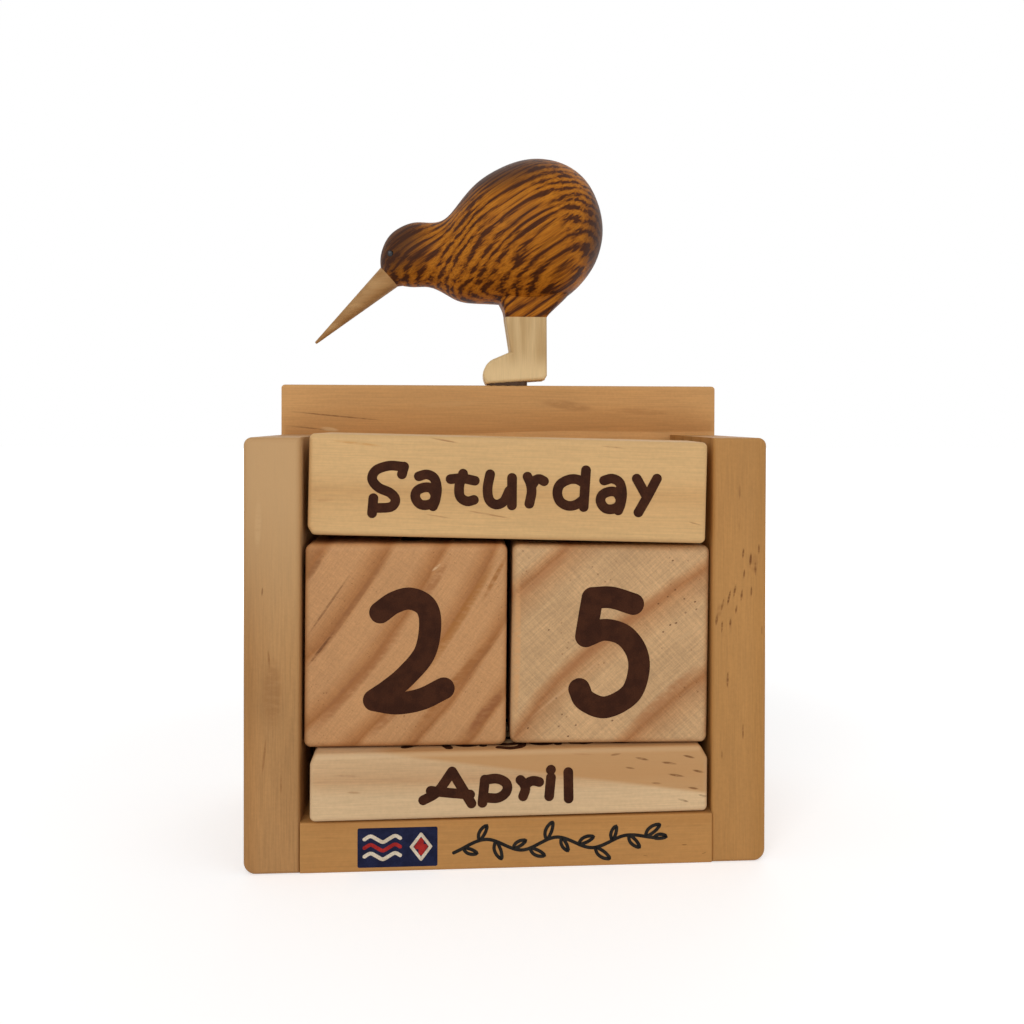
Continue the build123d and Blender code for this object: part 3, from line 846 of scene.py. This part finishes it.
def add_glue(name, leg, material):
    """A thin uneven wedge of dark glue that fills the gap between the board and the rising sole, where
    shade falls under the foot.
    """
    low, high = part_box(leg)
    toe_x, toe_z = low.x / MM + TOE_ROUND, low.z / MM
    middle_y = (low.y + high.y) / 2 / MM
    base = toe_z - GLUE_SINK
    bm = bmesh.new()
    rings = []
    for i in range(GLUE_STEPS + 1):
        x = GLUE_SPAN[0] + (GLUE_SPAN[1] - GLUE_SPAN[0]) * i / GLUE_STEPS
        half = GLUE_HALF_WIDTH + GLUE_WAVER * sin(2.3 * i) - (GLUE_TAPER if i in (0, GLUE_STEPS) else 0)
        sole = toe_z + (x - toe_x) * GLUE_RISE + SOLE_OVERLAP
        corners = ((-half, base), (half, base), (half * GLUE_TOP, sole), (-half * GLUE_TOP, sole))
        rings.append([bm.verts.new((x * MM, (middle_y + y) * MM, z * MM)) for y, z in corners])
    join_rings(bm, rings)
    finished_piece(name, bm, material, "frame")


# Kiwi

GRAIN_RISE = 34  # degrees, of the streaks on its side
LAYER_DIP = 0.7  # of the layers towards the depth
LAYER_SPACING = 2.1
WANDER_SIZE = (40, 6, 5)
WANDER = 2.2  # layers that the slow waver moves a streak by, and the quick one after it
RAGGED_SIZE = (24, 0.8, 0.45)
RAGGED = 1.0
LENS_SIZE = (19, 1.7, 1.2)
LENS_SWING = 1.3
HAIR_SIZE = (12, 0.4, 0.2)
STREAK_TONES = (
    (0.04, tone(74, 37, 15)), (0.11, tone(92, 48, 16)), (0.17, tone(130, 74, 20)),
    (0.27, tone(158, 92, 22)), (0.5, tone(182, 112, 30)),
)
DIM_TONE = tone(60, 34, 21)
DIM_SHARE = 0.82
DIM_NARROWING = 0.05  # of the orange lenses
DIM_DEPTH = 40
DIM_CORE = 0.4
DIM_PARTS = (  # x, z, half length and half height from its middle: head, back, nape, rump and hip
    (-27, -0.5, 15, 14), (-3, 17, 24, 10.5), (-14, 11, 15, 8), (29, 0, 10, 24), (22, -16, 8, 5),
)


def streaked_wood(name, centre):
    """Dark wood in thin tilted layers with long orange lenses, cut through by its round side."""
    f = Finish(name, roughness=0.5, specular=0.1)
    grain = f.local(centre, (0, -radians(GRAIN_RISE), 0))
    _, depth, across = f.split(grain)
    wander = f.noise(grain, WANDER_SIZE, 4, detail=1, roughness=0.4)
    ragged = f.noise(grain, RAGGED_SIZE, 14, detail=3, roughness=0.6)
    broad = f.noise(grain, LENS_SIZE, 9)
    level = f.add(
        f.times(f.add(across, f.times(depth, LAYER_DIP)), 1 / LAYER_SPACING),
        f.swing(wander, WANDER), f.swing(ragged, RAGGED),
    )
    wave = f.math("ABSOLUTE", f.minus(f.math("FRACT", level), 0.5))
    lens = f.add(wave, f.swing(broad, LENS_SWING))
    local = f.local(centre, (0, 0, 0))
    dim = 0.0
    for x, z, half_length, half_height in DIM_PARTS:
        part = f.oval(local, (x, 0, z), (half_length, DIM_DEPTH, half_height), 0, DIM_CORE)
        dim = f.math("MAXIMUM", dim, part)
    colour = f.ramp(f.minus(lens, f.times(dim, DIM_NARROWING)), STREAK_TONES)
    fine = f.noise(grain, HAIR_SIZE, 15, detail=3, roughness=0.65)
    colour = f.shade(colour, f.ease(fine, 0.33, 0.55, 0.6, 1.1))
    f.colour(f.mix(f.times(dim, DIM_SHARE), colour, DIM_TONE))
    f.roughness(f.ease(fine, 0.2, 0.8, 0.45, 0.58))
    f.bump(f.add(fine, f.times(wave, 0.6)), 0.03)
    return f.material


# Plain woods, steel and beads

BAND_SIZE = (2.2, 2.2, 26)
THREAD_SIZE = (0.25, 0.25, 7)
WEAR_SIZE = (0.6, 0.6, 0.6)
DUST_SIZE = (0.4, 0.4, 0.4)


def plain_wood(name, pale, dark, along, seed, glow=None):
    """A small turned or carved piece of plain wood, its fibres along the given axis of its own space.

    glow is a height below which a paler tone is at its full, the height above which it has gone, and
    that tone.
    """
    f = Finish(name, roughness=0.55, specular=0.2)
    local = f.millimetres()
    grain = grain_space(f, local, along)
    bands = f.noise(grain, BAND_SIZE, seed, detail=3)
    fine = f.noise(grain, THREAD_SIZE, seed + 3, detail=3, roughness=0.6)
    colour = f.mix(f.ease(bands, 0.3, 0.7), tone(*pale), tone(*dark))
    if glow:
        low, high, glow_tone = glow
        colour = f.mix(f.ease(f.split(local)[2], high, low), colour, tone(*glow_tone))
    f.colour(f.vary(colour, fine, 0.07))
    f.bump(fine, 0.02)
    return f.material


def plain_metal(name):
    f = Finish(name, roughness=0.35)
    f.surface.inputs["Metallic"].default_value = 1.0
    worn = f.noise(f.millimetres(), WEAR_SIZE, 2, detail=3)
    f.colour(f.mix(f.ease(worn, 0.3, 0.7), tone(150, 150, 150), tone(190, 188, 184)))
    f.roughness(f.ease(worn, 0.3, 0.7, 0.3, 0.5))
    return f.material


def bead(name):
    f = Finish(name, roughness=0.3, specular=0.35)
    dust = f.noise(f.millimetres(), DUST_SIZE, 2, detail=2)
    f.colour(f.mix(f.ease(dust, 0.3, 0.7), tone(14, 14, 18), tone(26, 28, 36)))
    return f.material


# The calendar

add_camera()
add_world()
add_floor()
for lamp in LAMPS:
    add_lamp(*lamp)

blocks = {name: Block(name) for name in (
    "side_left", "side_right", "base_shelf", "back_board", "number_cube_left", "number_cube_right",
    "weekday_bar_front", "weekday_bar_rear", "month_bar_front", "month_bar_middle", "month_bar_rear",
)}

FLECK = tone(108, 64, 30)
BROWN = tone(146, 98, 54)
BAND = tone(160, 104, 60)
SPECK = tone(96, 60, 36)
SIDE_LEFT_MARKS = (
    (-1.8, 12.7, 1.0, 0.2, 86, FLECK, 0.6), (-0.5, -0.6, 2.2, 0.3, 95, BROWN, 0.6),
    (0.2, -7.2, 8.5, 2.4, 90, BROWN, 0.4), (-1.4, -19.5, 4.2, 0.3, 84, BROWN, 0.6),
    (1.85, -25.1, 2.4, 0.25, 90, BROWN, 0.5), (-2.6, 26.0, 6.0, 0.8, 88, tone(206, 166, 118), 0.6),
)
SIDE_RIGHT_MARKS = (
    (2.2, 18.2, 2.0, 0.32, 86, FLECK, 0.9), (3.2, 16.4, 1.7, 0.28, 92, FLECK, 0.85),
    (0.9, 15.4, 1.2, 0.24, 84, FLECK, 0.75), (3.9, 20.4, 1.3, 0.24, 90, FLECK, 0.7),
    (-1.0, 12.1, 1.6, 0.28, 80, FLECK, 0.85), (-2.2, 10.6, 1.9, 0.28, 78, FLECK, 0.9),
    (-3.5, 9.2, 1.5, 0.28, 78, FLECK, 0.85), (-4.7, 6.2, 1.4, 0.34, 84, FLECK, 0.9),
    (-4.2, 8.0, 1.8, 0.7, 80, BROWN, 0.4), (3.0, 17.4, 2.6, 0.9, 88, BROWN, 0.4),
    (0.7, 19.6, 1.2, 0.26, 84, FLECK, 0.8), (0.4, 11.1, 1.5, 0.28, 84, FLECK, 0.8),
    (2.4, 11.9, 1.2, 0.24, 88, FLECK, 0.75), (-0.7, 8.3, 1.1, 0.26, 82, FLECK, 0.75),
    (-1.9, 5.5, 1.1, 0.26, 86, FLECK, 0.8), (-3.6, 4.8, 1.4, 0.3, 86, FLECK, 0.8),
    (-2.4, -5.9, 1.9, 0.3, 88, FLECK, 0.75), (0.8, -16.4, 2.0, 0.2, 90, FLECK, 0.65),
    (-3.5, -21.0, 1.4, 0.16, 90, FLECK, 0.5), (4.6, 4.0, 1.2, 0.16, 90, FLECK, 0.5),
)
BACK_MARKS = (
    (-39.0, 41.3, 12.7, 0.22, -5.4, tone(118, 78, 42), 0.75),
    (-45.1, 38.4, 6.9, 0.2, -5.9, tone(118, 78, 42), 0.6),
    (-40.9, 38.2, 2.8, 0.6, -8, tone(218, 180, 130), 0.6), (16.0, 44.0, 7.5, 1.4, -8, BROWN, 0.35),
    (34.0, 42.5, 9.0, 1.0, -3, BROWN, 0.25), (-12.0, 44.2, 9.0, 0.9, 3, tone(212, 164, 108), 0.4),
)
SHELF_MARKS = (
    (22.5, 1.0, 0.5, 0.14, 10, FLECK, 0.5), (27.5, -3.2, 0.6, 0.14, -10, FLECK, 0.5),
    (32.0, 2.6, 0.5, 0.14, 5, FLECK, 0.5), (35.4, -1.2, 0.7, 0.15, 0, FLECK, 0.6),
    (39.4, -3.0, 0.6, 0.14, 20, FLECK, 0.6), (-35.0, 2.0, 3.0, 0.25, 2, BROWN, 0.3),
)
CUBE_LEFT_MARKS = (
    (-11.2, 7.1, 15.4, 0.75, 55.3, tone(150, 98, 58), 0.8),
    (-16.8, -0.6, 5.2, 0.35, 53, tone(112, 68, 38), 0.85),
    (-15.2, 8.2, 8.8, 0.3, 55.6, tone(118, 76, 46), 0.65),
    (-18.1, 15.5, 3.6, 0.8, 59, tone(140, 92, 54), 0.7),
    (-9.2, -6.5, 17.0, 1.5, 49.8, BAND, 0.7), (-12.5, -9.0, 9.0, 0.4, 49, tone(156, 102, 62), 0.6),
    (5.1, 12.1, 7.7, 1.1, 58, BAND, 0.72), (10.9, 5.9, 15.5, 1.2, 58.8, tone(164, 106, 50), 0.7),
    (-2.4, -13.0, 8.0, 1.3, 47, BAND, 0.7), (10.3, -6.8, 15.4, 1.3, 50, tone(156, 98, 50), 0.75),
    (15.9, -13.3, 6.8, 1.4, 51, tone(144, 88, 50), 0.8),
    (17.6, 13.6, 6.0, 0.6, 62, tone(156, 98, 46), 0.75),
    (-6.0, 2.0, 14.0, 0.3, 50, tone(186, 134, 90), 0.6),
    (15.2, -2.2, 8.0, 0.35, 52, tone(150, 98, 56), 0.6),
    (5.9, 15.6, 1.4, 0.3, 40, tone(226, 190, 146), 0.6),
)
CUBE_RIGHT_MARKS = tuple(
    (x, z, 0.3, 0.22, 30, SPECK, 0.9) for x, z in (
        (12.9, 11.1), (14.8, 9.3), (9.5, 8.3), (11.4, 9.7),
        (17.0, 8.7), (17.3, 7.2), (13.2, 4.4), (15.1, 6.5),
        (12.0, 4.0), (10.6, 2.6), (-10.9, -10.7), (-9.7, -14.0),
        (-10.3, -16.4), (-6.9, -16.2), (-8.4, -18.4),
        (-16.5, -16.7), (-12.6, 3.0), (0.5, -15.3), (12.3, 17.0),
    )
) + (
    (-13.5, 14.0, 7.5, 1.1, 44, tone(178, 124, 80), 0.6),
    (0.3, 2.2, 23.0, 1.4, 38.3, tone(172, 117, 74), 0.6),
    (10.4, -11.2, 12.0, 1.5, 43.7, tone(172, 117, 74), 0.6),
    (-18.9, 0.0, 18.0, 0.9, 90, tone(214, 158, 104), 0.7),
    (-8.0, -8.0, 12.0, 0.4, 40, tone(206, 162, 118), 0.5),
    (16.0, 2.4, 5.0, 0.5, 30, tone(206, 168, 124), 0.5),
)
WEEKDAY_MARKS = (
    (-29.8, 8.3, 5.6, 0.35, -5, tone(206, 150, 84), 0.7),
    (-12.8, 9.3, 3.6, 0.22, -9, tone(150, 100, 58), 0.75),
    (20.8, 8.7, 3.0, 0.18, -5, tone(160, 112, 68), 0.6),
    (-3.6, -5.2, 5.4, 0.22, -9, tone(170, 120, 74), 0.7),
    (-13.5, -5.8, 3.2, 0.18, -8, tone(170, 120, 74), 0.6),
    (37.4, -6.1, 1.6, 0.2, -14, tone(160, 112, 68), 0.6),
    (-36.0, -3.0, 2.4, 0.5, 8, tone(196, 146, 94), 0.5),
)
MONTH_TAN = tone(196, 147, 95)
MONTH_MARKS = (
    (20.7, 5.4, 1.3, 0.26, 8, FLECK, 0.7), (26.0, 4.4, 1.7, 0.3, -12, FLECK, 0.7),
    (31.5, 3.4, 1.9, 0.3, -8, FLECK, 0.8), (35.6, 4.6, 1.5, 0.28, -14, FLECK, 0.8),
    (33.0, 0.9, 2.0, 0.3, -10, FLECK, 0.8), (37.6, 1.6, 1.5, 0.3, -12, FLECK, 0.8),
    (29.0, -0.6, 1.3, 0.24, -6, FLECK, 0.6), (36.6, -1.8, 1.4, 0.26, -10, FLECK, 0.7),
    (23.6, 2.6, 1.2, 0.24, -10, FLECK, 0.6), (34.5, -4.2, 1.4, 0.26, -16, FLECK, 0.7),
    (38.6, -3.4, 1.2, 0.26, -16, FLECK, 0.7),
    (-32.5, 2.4, 2.6, 0.3, -4, tone(176, 134, 94), 0.6),
    (-31.0, -0.9, 1.8, 0.28, -3, tone(176, 134, 94), 0.6),
    (14.0, 5.6, 3.0, 0.2, -3, tone(176, 126, 82), 0.5),
)
WEEKDAY_TONES = ((217, 176, 121), (213, 170, 115), (206, 161, 106))
MONTH_TONES = ((219, 186, 143), (213, 176, 132), (202, 160, 116))

dress_pine(
    "side_left", "Z", (60, 70), 7, 5, 1, ((180, 134, 84), (173, 126, 76), (161, 114, 65)),
    fibre=0.11, streaks=0.13, zones=((0.0, 14, 22, tone(203, 163, 115), 0.85),), marks=SIDE_LEFT_MARKS,
)
dress_pine(
    "side_right", "Z", (-50, 90), 8, 5, 2, ((186, 135, 77), (179, 128, 69), (169, 118, 61)),
    streaks=0.05, marks=SIDE_RIGHT_MARKS,
)
dress_pine(
    "base_shelf", "X", (70, -30), 6, 4, 3, ((190, 138, 79), (181, 127, 68), (168, 114, 57)),
    streaks=0.06, marks=SHELF_MARKS,
)
dress_pine(
    "back_board", "X", (60, 90), 8, 5, 4, ((208, 157, 99), (200, 147, 89), (188, 135, 79)),
    streaks=0.06, marks=BACK_MARKS,
)
dress_pine(
    "number_cube_left", "Y", (-97, 71), 9.1, 1.6, 5, ((196, 145, 97), (180, 126, 78), (162, 106, 60)),
    late=0.7, growth=0.0005, start=3.26, speck_share=0.5, speck_size=(0.8, 0.8, 9), streaks=0.05,
    soft_rings=True, hatches=((-54, 0.05), (36, 0.04)), marks=CUBE_LEFT_MARKS,
)
dress_pine(
    "number_cube_right", "Y", (64, -77), 18.6, 2.2, 6, ((202, 162, 117), (189, 141, 95), (170, 115, 70)),
    late=0.78, start=0.76, speck_share=0.4, speck_size=(1.2, 1.2, 9), streaks=0.09,
    soft_rings=True, hatches=((-42, 0.08), (46, 0.08)), marks=CUBE_RIGHT_MARKS,
)
for i, name in enumerate(("weekday_bar_front", "weekday_bar_rear")):
    dress_pine(
        name, "X", (-60, -180), 26, 4, 7 + i, WEEKDAY_TONES, streaks=0.03, speck_share=0.15,
        soft_rings=True, marks=() if i else WEEKDAY_MARKS,
    )
for i, name in enumerate(("month_bar_front", "month_bar_middle", "month_bar_rear")):
    dress_pine(
        name, "X", (-40, 160), 24, 5, 10 + i, MONTH_TONES, streaks=0.05, speck_share=0.2,
        soft_rings=True, zones=() if i else ((-0.145, 2.9, 0.5, MONTH_TAN, 0.85),),
        marks=() if i else MONTH_MARKS,
    )

CUBE_FACES = {
    "number_cube_left": {
        "front": "2", "top": "1", "right": "0", "left": "7", "back": "6", "bottom": "8",
    },
    "number_cube_right": {
        "front": "5", "top": "3", "right": "1", "left": "0", "back": "2", "bottom": "4",
    },
}
BAR_WORDS = {
    "weekday_bar_front": {"front": "Saturday", "back": "Friday", "bottom": "Monday"},
    "weekday_bar_rear": {"front": "Tuesday", "top": "Sunday", "back": "Thursday", "bottom": "Wednesday"},
    "month_bar_front": {"front": "April", "top": "August", "back": "March", "bottom": "June"},
    "month_bar_middle": {"front": "July", "top": "May", "back": "February", "bottom": "January"},
    "month_bar_rear": {"front": "October", "top": "November", "back": "September", "bottom": "December"},
}
WORD_STYLE = {  # width and height of the letters, tracking, shift of the word, half the stroke's width
    "weekday": (0.98, 1.03, 0.7, (1.75, -0.1), 0.97),
    "month": (1.04, 0.76, 0.2, (1.5, -0.8), 0.8),
    "April": (1.12, 0.63, 0.1, (-2.63, -0.8), 0.97),
}

dark_ink = ink("ink_words", (66, 35, 20), (54, 27, 15))
for name, faces in CUBE_FACES.items():
    for face, digit in faces.items():
        print_strokes(
            f"{name}_digit_{face}", blocks[name], face, DIGITS[digit], DIGIT_HALF_WIDTH, dark_ink,
        )
for name, faces in BAR_WORDS.items():
    for face, word in faces.items():
        *style, half_width = WORD_STYLE.get(word, WORD_STYLE[name.split("_")[0]])
        strokes = word_strokes(word, *style)
        print_strokes(
            f"{name}_word_{face}", blocks[name], face, strokes, half_width, dark_ink
        )

panel_ink = ink("ink_panel", (34, 38, 66), (26, 29, 54))
red_ink = ink("ink_red", (176, 48, 44), (150, 38, 36))
cream_ink = ink("ink_cream", (226, 212, 190), (206, 190, 166))
sprig_ink = ink("ink_sprig", (44, 40, 36), (32, 29, 27))
print_patch("shelf_panel", blocks["base_shelf"], "front", panel_outline(), panel_ink)
x, y = PANEL_AT
diamond_at = (x + DIAMOND_AT, y)
rim = [moved(pair, diamond_at) for pair in zip(DIAMOND, DIAMOND[1:])]
cream_waves = [moved(WAVE, (x + WAVES_AT, y + shift)) for shift in (WAVE_SHIFT, -WAVE_SHIFT)]
for name, strokes, half_width, colour in (
    ("shelf_diamond_rim", rim, 0.3, cream_ink),
    ("shelf_diamond", [moved(shape, diamond_at) for shape in DIAMOND_FILL], 0.5, red_ink),
    ("shelf_waves_cream", cream_waves, 0.36, cream_ink),
    ("shelf_wave_red", [moved(WAVE, (x + WAVES_AT, y))], 0.36, red_ink),
    ("shelf_sprig", sprig_strokes(), 0.34, sprig_ink),
):
    print_strokes(name, blocks["base_shelf"], "front", strokes, half_width, colour)

# dark glue under the feet: its dark tone is partly painted shade for the shaded gap under each sole
glue_and_shade = plain_wood("glue_and_shade_line", (84, 58, 38), (62, 42, 27), "X", 12)
for side in ("left", "right"):
    add_glue(f"kiwi_glue_{side}", f"kiwi_leg_{side}", glue_and_shade)

low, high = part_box("kiwi_body")
dress("kiwi_body", streaked_wood("kiwi_streaked", (low + high) / 2))
dress("kiwi_beak", plain_wood("kiwi_beak_wood", (184, 142, 92), (162, 118, 70), "X", 3))
for name in ("kiwi_leg_left", "kiwi_leg_right"):
    glow = (100, 106, (236, 206, 154))
    dress(name, plain_wood(f"{name}_wood", (220, 190, 140), (198, 164, 114), "Z", 5, glow))
dress("kiwi_eyes", bead("eye_bead"))
dress("back_brads", plain_metal("brad_steel"))
for name in ("shelf_dowels", "foot_dowels", "hip_dowels"):
    dress(name, plain_wood(f"{name}_wood", (110, 78, 46), (92, 62, 34), "Z", 8))

view = bpy.context.scene.view_settings
view.view_transform = "Standard"
